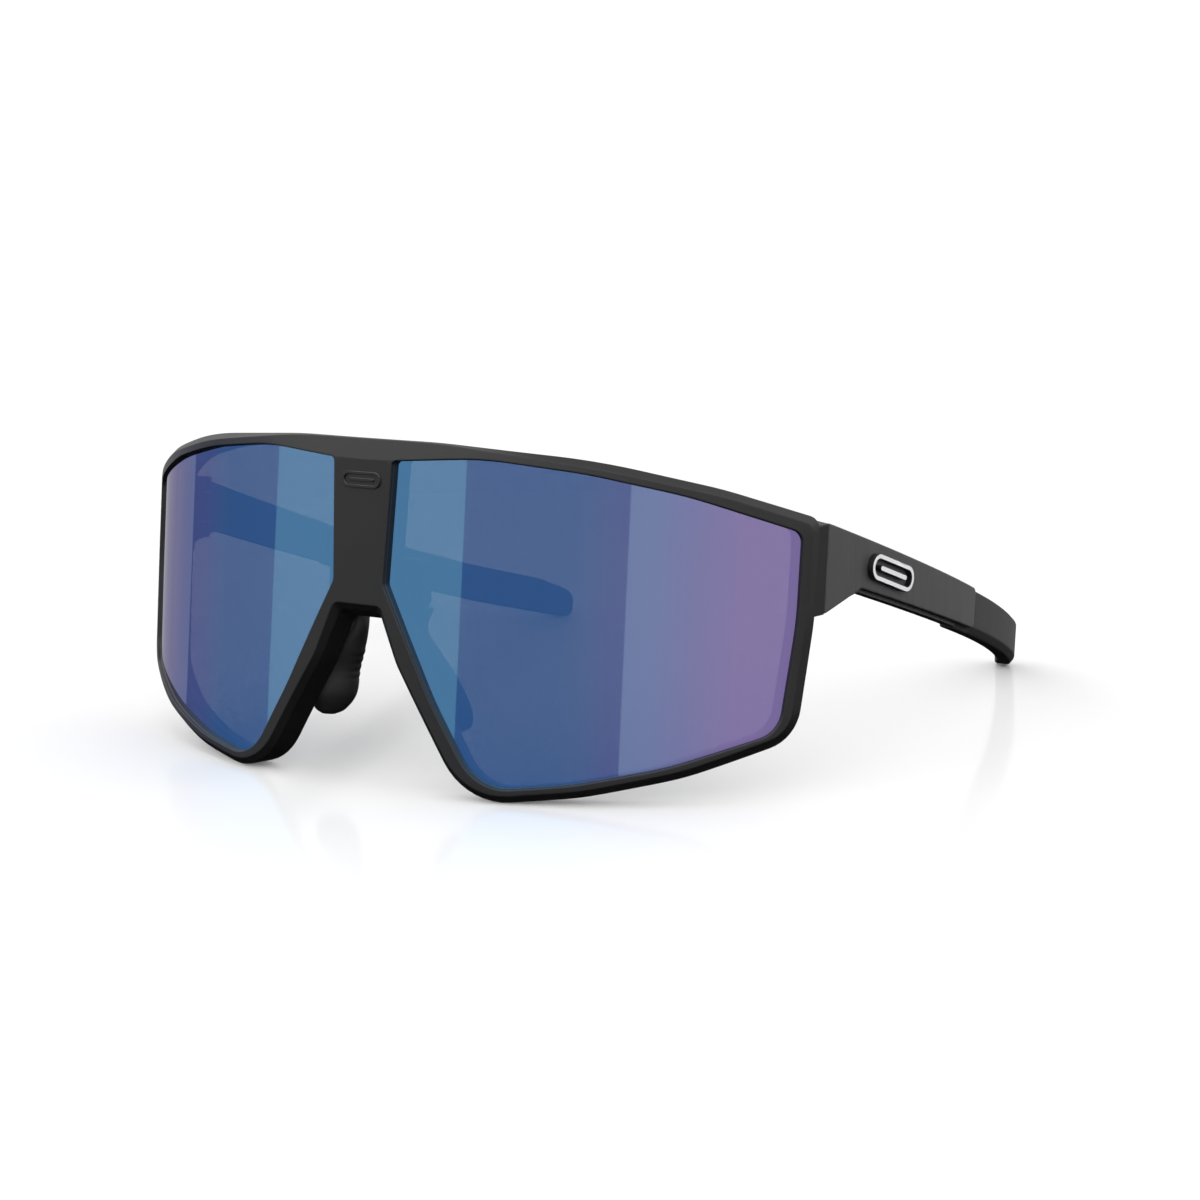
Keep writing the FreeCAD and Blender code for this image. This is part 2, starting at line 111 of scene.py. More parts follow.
# ---- badges ----
BADGE_CENTRE = (51.5, -14.7)
BADGE_SLOPE = math.radians(13.4)
BADGE = dict(length=14.0, height=4.4, line=0.85)
BADGE_RISE = 1.0
BRIDGE_BADGE = dict(length=7.6, height=2.6, line=0.45)
BRIDGE_BADGE_RISE = 0.25
BRIDGE_BADGE_H = -3.4
BADGE_ROOT = 0.03           # how deep a badge is set into what it stands on
CAPSULE_ARC = 14            # points on each rounded end of a badge's outline
CAPSULE_STRAIGHT = 7        # points along each straight side

# ---- nose pads ----
RIB_PITCH = 1.3
RIB_DEPTH = 0.13
RIB_HEIGHTS = (-37.6, -36.9, -32.0, -31.7)
BORDER_DEPTH = 0.16
NECK_DEPTH = 0.15
NECK_HEIGHTS = (-32.0, -31.6, -28.0)
PAD_POINTS = 72
PAD_RINGS = 124

# Left lens opening, clockwise from its inner top corner: s, h, corner radius
OPENING = [
    (5.8, 0.0, 0.9), (21.5, 1.25, 60.0), (38.5, -0.2, 80.0), (54.5, -2.85, 80.0), (73.2, -7.8, 2.2),
    (73.1, -22.0, 60.0), (71.1, -39.5, 5.2), (53.0, -45.9, 60.0), (38.0, -49.4, 60.0),
    (23.0, -51.5, 8.8), (14.5, -38.0, 60.0), (4.95, -19.9, 2.2),
]
# Left half of the front's outline from the brow to the nose arch, at three depths
FACE_HALF = [
    (14.0, 3.2, 120.0), (40.0, 0.75, 120.0), (60.0, -2.6, 80.0), (74.8, -6.5, 1.6),
    (74.6, -21.4, 60.0), (72.6, -39.5, 5.6), (56.0, -46.0, 60.0), (40.0, -50.05, 60.0),
    (21.35, -52.7, 11.0), (8.4, -32.3, 12.0), (4.7, -23.4, 1.6),
]
BEVEL_HALF = [
    (14.0, 3.35, 120.0), (40.0, 1.95, 120.0), (60.0, -1.5, 80.0), (76.4, -5.6, 2.4),
    (76.3, -21.4, 60.0), (74.3, -40.5, 7.5), (56.3, -47.25, 60.0), (40.2, -51.2, 60.0),
    (21.0, -53.9, 12.0), (7.5, -32.6, 11.0), (3.9, -24.5, 1.4),
]
BACK_HALF = [
    (14.0, 2.9, 120.0), (40.0, 1.5, 120.0), (60.0, -1.95, 80.0), (75.9, -5.95, 2.4),
    (75.8, -21.4, 60.0), (73.8, -40.1, 7.3), (56.2, -46.85, 60.0), (40.2, -50.8, 60.0),
    (21.2, -53.4, 11.8), (8.0, -33.2, 11.0), (4.6, -26.0, 1.4),
]
# Left end-piece: x, y, top and bottom of each corner, going round from the front outer edge
ENDPIECE = [
    (66.18, 29.18, -7.1, -21.4), (67.4, 33.0, -6.3, -20.8), (61.3, 33.0, -5.6, -20.8),
    (61.4, 32.4, -5.5, -20.9), (63.93, 30.85, -5.3, -21.2),
]
# Temple outlines seen from the side: y, z, corner radius
COVER_SIDE = [
    (TEMPLE_START, -6.3, 0.2), (COVER_END, -18.9, 1.3), (COVER_END, -26.0, 0.9), (43.4, -17.0, 0.6),
    (TEMPLE_START, -20.7, 0.2),
]
SLEEVE_TOP = [(118.0, -26.2, 60.0), (136.0, -29.6, 12.0), (143.8, -32.5, 3.2), (143.5, -38.1, 1.6)]
# Nose pad cross-sections: x and y of the middle, z, half thickness, half width, turn in degrees
PAD_SECTIONS = [
    (6.4, 10.4, -24.0, 1.25, 1.5, 0.0), (5.9, 9.6, -27.6, 1.30, 1.5, -8.0),
    (7.6, 9.9, -31.2, 2.30, 2.2, -10.0), (10.1, 10.5, -35.4, 3.20, 2.6, -14.0),
    (11.8, 10.8, -39.8, 3.90, 3.2, -15.0), (12.8, 11.3, -42.5, 2.70, 2.4, -15.0),
    (13.1, 11.3, -43.5, 1.20, 1.1, -15.0),
]


# ======== places and patterns ========

def placed(points):
    """Points of the front's frame in millimetres, as points of the row frame in metres."""
    turned = np.asarray(points, float) @ np.array(LEAN_MATRIX).T
    return (turned + np.array(SHIFT)) / 1000


def on_front(points):
    """A flat pattern (s, h, n) wrapped on the face cylinder."""
    s, h, n = np.asarray(points, float).T
    reach = FACE_RADIUS - n
    return np.stack([reach * np.sin(s / FACE_RADIUS), FACE_RADIUS - reach * np.cos(s / FACE_RADIUS), h], 1)


def on_temple(points, side):
    """A side pattern (y, z, depth) laid on the plan curve of a temple; side is 1 for the left one."""
    y, z, depth = np.asarray(points, float).T
    bow = np.where(y < WIDEST_Y, FRONT_BOW, REAR_BOW)
    x = WIDEST_X - bow + np.sqrt((bow - depth) ** 2 - (y - WIDEST_Y) ** 2)
    return np.stack([side * x, y, z], 1)


def whole(half):
    """Closed outline from its left half, top to bottom."""
    return half + [(-s, h, radius) for s, h, radius in reversed(half)]


def mirrored(corners):
    """The outline on the other side, still listed clockwise."""
    return [(-s, h, radius) for s, h, radius in reversed(corners)]


def corner_frame(corners, i):
    """Corner i of a polygon, with the directions to its neighbours and half the angle between them."""
    count = len(corners)
    before, here, after = (Vector(corners[j % count][:2]) for j in (i - 1, i, i + 1))
    to_before = (before - here).normalized()
    to_after = (after - here).normalized()
    half_angle = to_before.angle(to_after) / 2
    turn = -1 if to_before.x * to_after.y - to_before.y * to_after.x > 0 else 1
    return here, to_before, to_after, half_angle, turn


def grown(corners, distance):
    """The outline moved out by a distance, for corners listed clockwise."""
    result = []
    for i, (_, _, radius) in enumerate(corners):
        here, to_before, to_after, half_angle, turn = corner_frame(corners, i)
        into, out = -to_before, to_after
        side = Vector((-into.y - out.y, into.x + out.x)).normalized()
        corner = here + side * (distance / math.sin(half_angle))
        moved = radius - turn * distance
        result.append((corner.x, corner.y, max(moved, 0.05) if radius else 0.0))
    return result


def counts_for(corners):
    """Arc steps and straight steps for each corner, so that outlines of one stack match."""
    counts = []
    for i, (_, _, radius) in enumerate(corners):
        here, _, to_after, half_angle, _ = corner_frame(corners, i)
        following = Vector(corners[(i + 1) % len(corners)][:2])
        sweep = math.pi - 2 * half_angle
        arc = 0
        if radius:
            arc = max(2, math.ceil(sweep / math.radians(9)), math.ceil(sweep * radius / STEP))
        counts.append((arc, max(1, math.ceil((following - here).length / STEP))))
    return counts


def outline(corners, counts):
    """Points round a polygon with rounded corners: an arc at each corner, then a straight run."""
    arcs = []
    for i, (_, _, radius) in enumerate(corners):
        here, to_before, to_after, half_angle, turn = corner_frame(corners, i)
        steps = counts[i][0]
        if not steps:
            arcs.append([here])
            continue
        start = here + to_before * (radius / math.tan(half_angle))
        centre = here + (to_before + to_after).normalized() * (radius / math.sin(half_angle))
        sweep = turn * (math.pi - 2 * half_angle)
        arm = start - centre
        arcs.append([centre + Matrix.Rotation(sweep * k / steps, 2) @ arm for k in range(steps + 1)])
    points = []
    for i, arc in enumerate(arcs):
        following = arcs[(i + 1) % len(arcs)][0]
        straight = counts[i][1]
        points += arc
        points += [arc[-1].lerp(following, k / straight) for k in range(1, straight)]
    return np.array([tuple(point) for point in points])


def level(corners, counts, depth):
    """One closed loop of a stack: an outline at a depth."""
    points = outline(corners, counts)
    return np.column_stack([points, np.full(len(points), depth)])


def softened(levels, reaches, steps=3):
    """The stack with its level edges rounded: reach says how far each rounding runs along the wall."""
    stack = [levels[0]]
    for i in range(1, len(levels) - 1):
        here = levels[i]
        into, out = levels[i - 1] - here, levels[i + 1] - here
        if not reaches[i]:
            stack.append(here)
            continue
        long_in = np.linalg.norm(into, axis=1, keepdims=True)
        long_out = np.linalg.norm(out, axis=1, keepdims=True)
        start = here + into / long_in * np.minimum(reaches[i], 0.49 * long_in)
        end = here + out / long_out * np.minimum(reaches[i], 0.49 * long_out)
        for k in range(steps + 1):
            t = k / steps
            stack.append((1 - t) ** 2 * start + 2 * t * (1 - t) * here + t * t * end)
    stack.append(levels[-1])
    return stack


def inside(points, loop):
    """True for each point that lies inside a closed loop."""
    x, y = points[:, 0][:, None], points[:, 1][:, None]
    ax, ay = loop[:, 0], loop[:, 1]
    bx, by = np.roll(ax, -1), np.roll(ay, -1)
    crosses = (ay > y) != (by > y)
    rise = np.where(by == ay, 1e-12, by - ay)
    hits = crosses & (x < (bx - ax) * (y - ay) / rise + ax)
    return hits.sum(1) % 2 == 1


def clear_of(points, loop, distance):
    """True for each point further than a distance from a loop's points."""
    gap = np.linalg.norm(points[:, None, :] - loop[None, :, :2], axis=2)
    return gap.min(1) > distance


# ======== meshes ========

class Shell:
    """Closed skin in pattern coordinates: stacks of loops, capped at their ends."""

    def __init__(self):
        self.points = []
        self.faces = []
        self.marks = []

    def add_points(self, points):
        first = len(self.points)
        self.points += [tuple(point) for point in points]
        return list(range(first, len(self.points)))

    def add_faces(self, faces, mark):
        self.faces += faces
        self.marks += [mark] * len(faces)

    def wall(self, stack, mark=0):
        """Quads between the loops of a stack; gives back its first and last loop."""
        loops = [self.add_points(loop) for loop in stack]
        count = len(loops[0])
        for near, far in zip(loops, loops[1:]):
            for i in range(count):
                j = (i + 1) % count
                self.add_faces([(near[i], near[j], far[j], far[i])], mark)
        return loops[0], loops[-1]

    def cap(self, outer, holes=(), spacing=0, extra=(), lift=None, mark=0):
        """Triangles inside a loop and outside its holes, with more points inside, at the loop's depth."""
        flat = [np.array([self.points[i][:2] for i in loop]) for loop in (outer, *holes)]
        depth = self.points[outer[0]][2]
        more = np.array(extra, float).reshape(-1, 2)
        if spacing:
            low, high = flat[0].min(0), flat[0].max(0)
            rows = np.arange(low[1], high[1], spacing)
            grid = [(x + (k % 2) * spacing / 2, y) for k, y in enumerate(rows)
                    for x in np.arange(low[0], high[0], spacing)]
            more = np.concatenate([more, np.array(grid).reshape(-1, 2)])
        if len(more):
            keep = inside(more, flat[0]) & clear_of(more, flat[0], spacing * 0.45)
            for hole in flat[1:]:
                keep &= ~inside(more, hole) & clear_of(more, hole, spacing * 0.45)
            if len(extra) and spacing:
                is_grid = np.arange(len(more)) >= len(extra)
                keep &= ~is_grid | clear_of(more, np.array(extra), spacing * 0.5)
            more = more[keep]
        indices = [i for loop in (outer, *holes) for i in loop]
        edges = []
        start = 0
        for loop in flat:
            edges += [(start + i, start + (i + 1) % len(loop)) for i in range(len(loop))]
            start += len(loop)
        if len(more):
            depths = np.full(len(more), depth) if lift is None else lift(more)
            indices += self.add_points(np.column_stack([more, depths]))
        verts = [Vector(self.points[i][:2]) for i in indices]
        made = delaunay_2d_cdt(verts, edges, [], 0, 1e-7)
        coords = np.array([tuple(v) for v in made[0]])
        names = [indices[origin[0]] for origin in made[3]]
        triangles = np.array(made[2])
        middles = coords[triangles].mean(1)
        keep = inside(middles, flat[0])
        for hole in flat[1:]:
            keep &= ~inside(middles, hole)
        self.add_faces([tuple(names[i] for i in triangle) for triangle in triangles[keep]], mark)

    def join(self, other_points, other_faces):
        """Adds loose points and faces, for a skin that isn't a stack."""
        names = self.add_points(other_points)
        self.add_faces([tuple(names[i] for i in face) for face in other_faces], 0)


def mesh_object(name, points, faces, marks, materials, sharp=40):
    """Object from points in the front's frame, with outward normals and smooth shading."""
    mesh = bpy.data.meshes.new(name)
    mesh.from_pydata([tuple(point) for point in placed(points)], [], faces)
    for material in materials:
        mesh.materials.append(material)
    mesh.polygons.foreach_set("material_index", marks)
    mesh.polygons.foreach_set("use_smooth", [True] * len(mesh.polygons))
    skin = bmesh.new()
    skin.from_mesh(mesh)
    bmesh.ops.recalc_face_normals(skin, faces=skin.faces)
    skin.to_mesh(mesh)
    skin.free()
    mesh.set_sharp_from_angle(angle=math.radians(sharp))
    piece = bpy.data.objects.new(name, mesh)
    bpy.context.scene.collection.objects.link(piece)
    return piece


def weighted(piece):
    """Large faces decide the shading next to a small rounded edge."""
    modifier = piece.modifiers.new("edges", "WEIGHTED_NORMAL")
    modifier.keep_sharp = True
    modifier.weight = 60
    return piece


def settle(piece, body, node):
    """Puts a piece on its body, in place of its CAD node."""
    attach(piece, body)
    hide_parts(node)


# ======== materials ========

def principled(name, colour, roughness, metallic=0.0):
    material = bpy.data.materials.new(name)
    material.use_nodes = True
    shader = material.node_tree.nodes["Principled BSDF"]
    shader.inputs["Base Color"].default_value = (*colour, 1)
    shader.inputs["Roughness"].default_value = roughness
    shader.inputs["Metallic"].default_value = metallic
    return material, material.node_tree, shader


def object_coordinates(tree, scale=(1, 1, 1)):
    """Object coordinates in metres, stretched; the row frame, as every piece sits at the origin."""
    coordinates = tree.nodes.new("ShaderNodeTexCoord")
    mapping = tree.nodes.new("ShaderNodeMapping")
    mapping.inputs["Scale"].default_value = scale
    tree.links.new(coordinates.outputs["Object"], mapping.inputs["Vector"])
    return mapping.outputs["Vector"]


def noise(tree, vector, scale, detail):
    node = tree.nodes.new("ShaderNodeTexNoise")
    node.inputs["Scale"].default_value = scale
    node.inputs["Detail"].default_value = detail
    node.inputs["Roughness"].default_value = 0.55
    tree.links.new(vector, node.inputs["Vector"])
    return node.outputs["Fac"]


def spread(tree, value, low, high, start=0.3, end=0.7):
    """Maps a texture's value from start..end to low..high."""
    node = tree.nodes.new("ShaderNodeMapRange")
    for key, number in (("From Min", start), ("From Max", end), ("To Min", low), ("To Max", high)):
        node.inputs[key].default_value = number
    tree.links.new(value, node.inputs["Value"])
    return node.outputs["Result"]


def ramp(tree, value, stops, constant=False):
    node = tree.nodes.new("ShaderNodeValToRGB")
    if constant:
        node.color_ramp.interpolation = "CONSTANT"
    elements = node.color_ramp.elements
    while len(elements) < len(stops):
        elements.new(1.0)
    for element, (place, colour) in zip(elements, stops):
        element.position = place
        element.color = (*colour, 1)
    tree.links.new(value, node.inputs["Fac"])
    return node.outputs["Color"]


def bump(tree, shader, height, strength, distance):
    node = tree.nodes.new("ShaderNodeBump")
    node.inputs["Strength"].default_value = strength
    node.inputs["Distance"].default_value = distance
    tree.links.new(height, node.inputs["Height"])
    tree.links.new(node.outputs["Normal"], shader.inputs["Normal"])


def grained(name, dark, light, roughness, grain, depth, sheen_streak=None):
    """Moulded plastic or rubber: fine grain and a slow cloudy colour change; if asked, the colour change is
    stretched into light and dark streaks across the length instead, a painted sheen.
    """
    material, tree, shader = principled(name, light, roughness)
    vector = object_coordinates(tree)
    # Stretched streaks in the base colour are painted sheen; without them the cloud is the plastic's own
    # uneven tone.
    if sheen_streak:
        tone_and_sheen = noise(tree, object_coordinates(tree, sheen_streak), 1.0, 4)
    else:
        tone_and_sheen = noise(tree, vector, 90, 2)
    tree.links.new(ramp(tree, tone_and_sheen, ((0.32, dark), (0.68, light))), shader.inputs["Base Color"])
    fine = noise(tree, vector, grain, 2)
    tree.links.new(spread(tree, fine, roughness - 0.05, roughness + 0.05), shader.inputs["Roughness"])
    bump(tree, shader, fine, 0.35, depth)
    return material


def math_node(tree, operation, a, b=None):
    node = tree.nodes.new("ShaderNodeMath")
    node.operation = operation
    for socket, value in zip(node.inputs, (a, b)):
        if value is None:
            continue
        if isinstance(value, (int, float)):
            socket.default_value = value
        else:
            tree.links.new(value, socket)
    return node.outputs[0]


def mixed(tree, share, a, b):
    """a where share is 0, b where it is 1."""
    node = tree.nodes.new("ShaderNodeMix")
    node.data_type = "RGBA"
    for socket, value in ((node.inputs[0], share), (node.inputs[6], a), (node.inputs[7], b)):
        if isinstance(value, tuple):
            socket.default_value = (*value, 1)
        else:
            tree.links.new(value, socket)
    return node.outputs[2]


def grey(value):
    return (value, value, value * 1.02)


def mirror_material():
    """Blue mirror coating whose tint turns violet towards the sides, over grey polycarbonate."""
    material, tree, shader = principled("mirror_coating", (0.12, 0.33, 0.61), 0.03, metallic=1.0)
    material.surface_render_method = "BLENDED"
    split = tree.nodes.new("ShaderNodeSeparateXYZ")
    tree.links.new(object_coordinates(tree), split.inputs["Vector"])
    distance = math_node(tree, "ABSOLUTE", split.outputs["X"])
    across = spread(tree, distance, 0.0, 1.0, 0.0, 0.07)
    tint = ramp(tree, across, (
        (0.0, (0.117, 0.325, 0.61)), (0.48, (0.117, 0.325, 0.61)), (0.53, (0.15, 0.33, 0.61)),
        (0.585, (0.2, 0.3, 0.61)), (0.67, (0.22, 0.29, 0.61)), (0.73, (0.255, 0.27, 0.6)),
        (0.83, (0.34, 0.255, 0.6)),
    ))
    tree.links.new(tint, shader.inputs["Base Color"])
    haze = noise(tree, object_coordinates(tree), 60, 2)
    tree.links.new(spread(tree, haze, 0.02, 0.035), shader.inputs["Roughness"])
    shader.inputs["Specular Tint"].default_value = (0.61, 0.63, 0.72, 1)
    shader.inputs["Alpha"].default_value = 0.9
    return material


def smoke_material():
    """The tinted polycarbonate seen from behind and at its edges."""
    material, tree, shader = principled("smoke_polycarbonate", (0.02, 0.021, 0.024), 0.06)
    material.surface_render_method = "BLENDED"
    haze = noise(tree, object_coordinates(tree), 60, 2)
    tree.links.new(spread(tree, haze, 0.05, 0.07), shader.inputs["Roughness"])
    shader.inputs["Alpha"].default_value = 0.55
    return material


def metal(name, colour, roughness, turned):
    """Machined metal with fine tool marks in one direction."""
    material, tree, shader = principled(name, colour, roughness, metallic=1.0)
    marks = noise(tree, object_coordinates(tree, turned), 1.0, 3)
    tree.links.new(spread(tree, marks, roughness - 0.08, roughness + 0.08), shader.inputs["Roughness"])
    worn = tuple(value * 0.8 for value in colour)
    tree.links.new(ramp(tree, marks, ((0.3, worn), (0.7, colour))), shader.inputs["Base Color"])
    bump(tree, shader, marks, 0.2, 0.00001)
    return material


MATERIALS = {
    "frame_plastic": grained("frame_plastic", grey(0.0065), grey(0.0085), 0.42, 7000, 0.00001),
    # The cover's streaked colour is painted sheen, as is the same streaking on the tip rubber.
    "cover_plastic": grained("cover_plastic", grey(0.052), grey(0.062), 0.42, 7000, 0.00001, (60, 900, 60)),
    "arm_plastic": grained("arm_plastic", grey(0.045), grey(0.055), 0.45, 7000, 0.00001),
    "tip_rubber": grained("tip_rubber", grey(0.028), grey(0.035), 0.55, 5000, 0.000015, (60, 700, 60)),
    "nose_rubber": grained("nose_rubber", grey(0.014), grey(0.018), 0.55, 5000, 0.00002),
    "nose_base": grained("nose_base", grey(0.009), grey(0.012), 0.5, 6000, 0.00001),
    "black_badge": grained("black_badge", grey(0.006), grey(0.008), 0.3, 8000, 0.000005),
    "white_badge": grained("white_badge", grey(0.8), grey(0.86), 0.35, 8000, 0.000005),
    "steel": metal("steel", (0.58, 0.58, 0.6), 0.3, (9000, 9000, 200)),
    "brass": metal("brass", (0.78, 0.57, 0.27), 0.32, (9000, 9000, 200)),
    "mirror_coating": mirror_material(),
    "smoke_polycarbonate": smoke_material(),
}


# ======== pieces of the front ========

def brow_crease(s):
    """Height of the crease between the front's face and the tilted brow, along the openings' tops."""
    tops = [(0.0, -0.11)] + [(place, height) for place, height, _ in OPENING[:5]]
    return np.interp(np.abs(s), *zip(*tops))


def brow_lift(points):
    """How far the brow leans back of the front's face at each point (s, h)."""
    s, h = points[:, 0], points[:, 1]
    share = np.interp(np.abs(s), BROW_FLATTENS, (1, BROW_LEFT))
    return BROW_TILT * share * np.maximum(0, h - brow_crease(s))


def brought_forward(points):
    """Points of the lens or its groove, moved forward towards the outer end of the front."""
    points = np.array(points)
    share = np.clip((np.abs(points[:, 0]) - FORWARD_START) / (FORWARD_END - FORWARD_START), 0, 1)
    points[:, 2] -= LENS_FORWARD * share * share * (3 - 2 * share)
    return points


def with_brow(loop):
    """The loop with the brow's lean, which fades out down the edge bevel."""
    fade = np.clip(1 - loop[:, 2] / EDGE_CHAMFER, 0, 1)
    loop = loop.copy()
    loop[:, 2] += fade * brow_lift(loop)
    return loop


def rim_outer():
    """Outer wall of the rim, from just inside the face's edge to just inside the back's edge."""
    counts = counts_for(whole(BEVEL_HALF))
    loops = [
        level(grown(whole(FACE_HALF), -0.3), counts, 0.0),
        level(whole(FACE_HALF), counts, 0.0),
        level(whole(BEVEL_HALF), counts, EDGE_CHAMFER),
        level(whole(BACK_HALF), counts, RIM_DEPTH),
        level(grown(whole(BACK_HALF), -0.5), counts, RIM_DEPTH),
    ]
    return softened([with_brow(loop) for loop in loops], (0, 0.12, 0.2, 0.4, 0), 4)


def rim_opening(corners):
    """Wall of a lens opening, with the groove that holds the lens."""
    counts = counts_for(corners)
    lip = grown(corners, -LIP_STEP)
    groove = grown(corners, GROOVE)
    front_lip = LENS_SINK - GROOVE_GAP
    back_lip = LENS_BACK + GROOVE_GAP
    face = [
        level(grown(corners, 0.28), counts, 0.0),
        level(corners, counts, 0.0),
        level(corners, counts, LIP_DEPTH),
        level(lip, counts, LIP_DEPTH + LIP_STEP),
    ]
    seat = [
        level(lip, counts, front_lip),
        level(groove, counts, front_lip),
        level(groove, counts, back_lip),
        level(corners, counts, back_lip),
    ]
    back = [
        level(corners, counts, RIM_DEPTH),
        level(grown(corners, 0.4), counts, RIM_DEPTH),
    ]
    loops = [with_brow(loop) for loop in face + [brought_forward(loop) for loop in seat] + back]
    return softened(loops, (0, 0.2, 0.05, 0.05, 0.06, 0, 0, 0.1, 0.3, 0))


def seat_cut(points):
    """The rim's outer ends stop at the seat, where the temples begin."""
    cut = (points[:, 2] < SEAT_TOP) & (points[:, 2] > SEAT_BOTTOM) & (np.abs(points[:, 0]) > SEAT_X)
    points[:, 1] = np.where(cut, np.minimum(points[:, 1], SEAT_Y), points[:, 1])
    return points


def rim_skin():
    """The face with its two openings, the walls and the back."""
    shell = Shell()
    face_edge, back_edge = shell.wall(rim_outer())
    openings = [shell.wall(rim_opening(corners)) for corners in (OPENING, mirrored(OPENING))]
    across = np.arange(-CREASE_REACH, CREASE_REACH + 0.01, 0.85)
    crease = [(s, brow_crease(s) + rise) for s in across for rise in (-0.14, 0.0, 0.14)]
    shell.cap(face_edge, [front for front, _ in openings], 1.3, crease, brow_lift)
    shell.cap(back_edge, [back for _, back in openings], 1.8)
    return seat_cut(on_front(shell.points)), shell.faces


def bevelled_block(corners, side, width):
    """Prism between a top and a bottom polygon, with its edges rounded; points in the front's frame."""
    skin = bmesh.new()
    top = [skin.verts.new((side * x, y, high)) for x, y, high, _ in corners]
    bottom = [skin.verts.new((side * x, y, low)) for x, y, _, low in corners]
    skin.faces.new(top)
    skin.faces.new(bottom[::-1])
    for i in range(len(corners)):
        j = (i + 1) % len(corners)
        skin.faces.new((top[i], bottom[i], bottom[j], top[j]))
    bmesh.ops.recalc_face_normals(skin, faces=skin.faces)
    bmesh.ops.bevel(skin, geom=list(skin.edges), offset=width, segments=3, profile=0.5, affect="EDGES")
    skin.verts.index_update()
    points = np.array([tuple(v.co) for v in skin.verts])
    faces = [tuple(v.index for v in face.verts) for face in skin.faces]
    skin.free()
    return points, faces


def hinge_lug(low, high, side, head_below):
    """Round-ended lug on the hinge axis: the lower one seats the screw's head, the upper the insert."""
    join = math.sqrt(BARREL_RADIUS ** 2 - LUG_INNER_SIDE ** 2)
    turns = np.linspace(0, math.pi + math.asin(join / BARREL_RADIUS), 30)
    arc = [(HINGE.x + BARREL_RADIUS * math.cos(t), HINGE.y + BARREL_RADIUS * math.sin(t)) for t in turns]
    root = SEAT_Y - LUG_ROOT
    plan = np.array([(HINGE.x + BARREL_RADIUS, root)] + arc + [(HINGE.x - LUG_INNER_SIDE, root)])
    middle = plan.mean(0)
    shell = Shell()

    def at(points, z, shrink=0.0):
        inward = middle - points
        inward /= np.linalg.norm(inward, axis=1, keepdims=True)
        return np.column_stack([points + inward * shrink, np.full(len(points), z)])

    def bore(radius, z):
        turns = np.linspace(0, 2 * math.pi, 32, endpoint=False)
        x = HINGE.x + radius * np.cos(turns)
        y = HINGE.y + radius * np.sin(turns)
        return np.column_stack([x, y, np.full(len(turns), z)])

    outer = [at(plan, low, 0.15), at(plan, low), at(plan, high), at(plan, high, 0.15)]
    first, last = shell.wall(softened(outer, (0, 0.12, 0.12, 0)))
    if head_below:
        seat = low + HEAD_DEPTH
        hole = [bore(HEAD_BORE, low), bore(HEAD_BORE, seat), bore(SCREW_BORE, seat), bore(SCREW_BORE, high)]
    else:
        roof = high - INSERT_ROOF
        hole = [bore(INSERT_BORE, low), bore(INSERT_BORE, roof), bore(0.4, roof)]
    hole_first, hole_last = shell.wall(hole)
    if head_below:
        shell.cap(last, [hole_last])
    else:
        shell.cap(hole_last)
        shell.cap(last)
    shell.cap(first, [hole_first])
    points = np.array(shell.points)
    points[:, 0] *= side
    return points, shell.faces


def make_front_frame():
    """The moulded front. Reflections leave it out: its mirror image would double the rim in the lenses."""
    shell = Shell()
    shell.join(*rim_skin())
    for side in (1, -1):
        shell.join(*bevelled_block(ENDPIECE, side, 0.22))
        for (low, high), head_below in zip(LUGS, (True, False)):
            shell.join(*hinge_lug(low, high, side, head_below))
    material = [MATERIALS["frame_plastic"]]
    piece = mesh_object("rim_front", shell.points, shell.faces, shell.marks, material)
    piece.visible_glossy = False
    settle(weighted(piece), "front", "front_frame")


def make_lens(side, word):
    """Curved slab in its groove: mirror coating in front, smoke-grey behind and at the edges."""
    corners = OPENING if side > 0 else mirrored(OPENING)
    edge = grown(corners, LENS_LIP)
    counts = counts_for(edge)
    loops = [
        level(grown(edge, -0.15), counts, LENS_SINK),
        level(edge, counts, LENS_SINK),
        level(edge, counts, LENS_BACK),
        level(grown(edge, -0.15), counts, LENS_BACK),
    ]
    shell = Shell()
    front, back = shell.wall(softened(loops, (0, 0.14, 0.14, 0)), mark=1)
    shell.cap(front, spacing=2.4)
    shell.cap(back, spacing=2.4, mark=1)
    materials = [MATERIALS["mirror_coating"], MATERIALS["smoke_polycarbonate"]]
    name = "lens_" + word + "_mirrored"
    points = on_front(brought_forward(shell.points))
    piece = mesh_object(name, points, shell.faces, shell.marks, materials)
    radial_normals(piece)
    settle(piece, "front", "lens_" + word)


def radial_normals(piece):
    """Exact cylinder normals on the two large faces, so that reflections run straight."""
    least_facing = 0.96
    mesh = piece.data
    corners = np.zeros(len(mesh.loops) * 3)
    mesh.corner_normals.foreach_get("vector", corners)
    corners = corners.reshape(-1, 3)
    lean = np.array(LEAN_MATRIX)
    axis_point = placed([(0, FACE_RADIUS, 0)])[0]
    for polygon in mesh.polygons:
        for loop in polygon.loop_indices:
            away = np.array(mesh.vertices[mesh.loops[loop].vertex_index].co) - axis_point
            local = lean.T @ away
            local[2] = 0
            radial = lean @ (local / np.linalg.norm(local))
            facing = float(np.dot(radial, polygon.normal))
            if abs(facing) > least_facing:
                corners[loop] = radial * math.copysign(1, facing)
    mesh.normals_split_custom_set([tuple(normal) for normal in corners])


def capsule(length, height):
    """Slot shape, centred: points (u, v)."""
    radius = height / 2
    end = length / 2 - radius
    turns = np.linspace(-math.pi / 2, math.pi / 2, CAPSULE_ARC)
    right = np.column_stack([end + radius * np.cos(turns), radius * np.sin(turns)])
    straight = np.linspace(0, 1, CAPSULE_STRAIGHT + 2)[1:-1, None]
    top = right[-1] + (np.array([-end, radius]) - right[-1]) * straight
    return np.concatenate([right, top, -right, -top])


